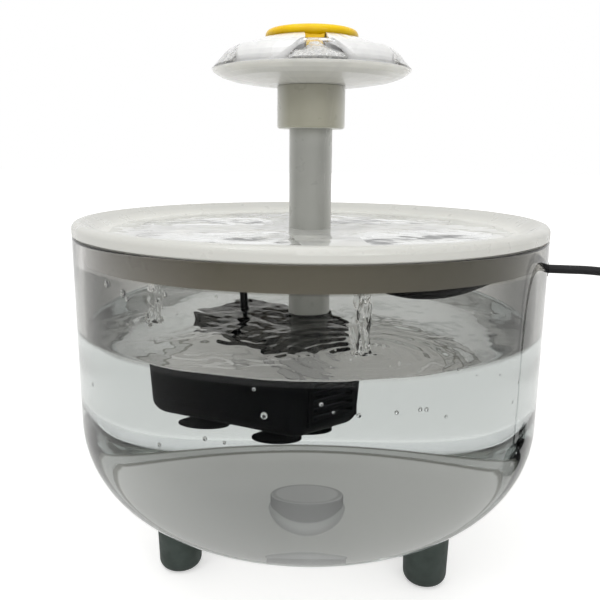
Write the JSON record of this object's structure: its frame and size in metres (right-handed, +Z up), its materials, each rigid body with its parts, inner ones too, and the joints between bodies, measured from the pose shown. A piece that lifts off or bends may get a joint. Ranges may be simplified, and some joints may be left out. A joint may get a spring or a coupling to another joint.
{
  "type": "pet water fountain",
  "caption": "Round clear water fountain for pets on three feet, with a white drinking tray, a petal flower spout on a riser tube and a submersible USB pump.",
  "frame": {"origin": "on the table, under the middle of the tank", "axes": "+Z up, front at -Y, the lead leaves the tank at +X"},
  "size_m": [0.3078, 0.19, 0.2186],
  "materials": {
    "clear_acrylic": "clear, polished",
    "clear_dish": "clear, slightly frosted",
    "foot_silicone": "soft matte grey-green silicone",
    "white_plastic": "smooth glossy white ABS",
    "white_silicone": "soft translucent white silicone",
    "yellow_plastic": "glossy egg-yolk yellow",
    "black_plastic": "black moulded plastic",
    "black_rubber": "black rubber",
    "black_pvc": "smooth black PVC cable jacket",
    "steel_laminations": "stacked laminations",
    "copper_wire": "enamelled copper winding",
    "circuit_board": "green solder mask",
    "potting_resin": "dark cast resin",
    "ceramic": "white polished ceramic",
    "ferrite": "dark ferrite magnet",
    "impeller_plastic": "pale nylon",
    "sponge": "open-cell black foam",
    "plug_metal": "nickel-plated steel"
  },
  "bodies": {
    "tank": {"tank_bowl": "clear_acrylic", "foot_front_left": "foot_silicone", "foot_front_right": "foot_silicone", "foot_rear": "foot_silicone", "cable_grommet": "black_rubber", "lead_upper": "black_pvc", "usb_lead": "black_pvc", "lead_coil": "black_pvc", "plug_tail": "black_pvc", "lead_tie": "black_rubber", "plug_body": "black_plastic", "plug_shell": "plug_metal", "plug_insert": "white_plastic"},
    "tray": {"drinking_tray": "white_plastic", "riser_grommet": "white_silicone", "lead_clip": "white_plastic", "lead_lower": "black_pvc"},
    "riser": {"riser_tube": "white_plastic"},
    "flower": {"flower_collar": "white_plastic", "flower_dish": "clear_dish", "dish_retainer": "white_plastic", "petal_cap": "white_plastic"},
    "nozzle": {"flower_nozzle": "yellow_plastic"},
    "pump": {"pump_housing": "black_plastic", "pump_base": "black_plastic", "stator_core": "steel_laminations", "stator_coil": "copper_wire", "driver_board": "circuit_board", "potting_resin": "potting_resin", "rear_bush": "black_rubber", "motor_shaft": "ceramic", "cable_gland": "black_rubber", "suction_cup_1": "black_rubber", "suction_cup_2": "black_rubber", "suction_cup_3": "black_rubber", "suction_cup_4": "black_rubber"},
    "intake": {"intake_cover": "black_plastic", "volute_cover": "black_plastic", "front_bush": "black_rubber", "intake_sponge": "sponge"},
    "impeller": {"impeller": "impeller_plastic", "rotor_magnet": "ferrite"}
  },
  "joints": [
    {"name": "tray_lift", "type": "slide", "parent": "tank", "child": "tray", "axis": [0, 0, 1], "range_m": [0, 0.1], "deforming": ["lead_upper"]},
    {"name": "riser_lift", "type": "slide", "parent": "tray", "child": "riser", "axis": [0, 0, 1], "range_m": [0, 0.03]},
    {"name": "flower_lift", "type": "slide", "parent": "riser", "child": "flower", "axis": [0, 0, 1], "range_m": [0, 0.03]},
    {"name": "nozzle_lift", "type": "slide", "parent": "flower", "child": "nozzle", "axis": [0, 0, 1], "range_m": [0, 0.02]},
    {"name": "pump_pull", "type": "slide", "parent": "tray", "child": "pump", "axis": [0, 0, -1], "range_m": [0, 0.025], "deforming": ["lead_lower"]},
    {"name": "intake_cover_slide", "type": "slide", "parent": "pump", "child": "intake", "axis": [0.8387, -0.5446, 0], "range_m": [0, 0.02]},
    {"name": "impeller_spin", "type": "hinge", "parent": "pump", "child": "impeller", "pos_m": [-0.0169, 0.00335, 0.07925], "axis": [0.8387, -0.5446, 0], "continuous": true}
  ]
}
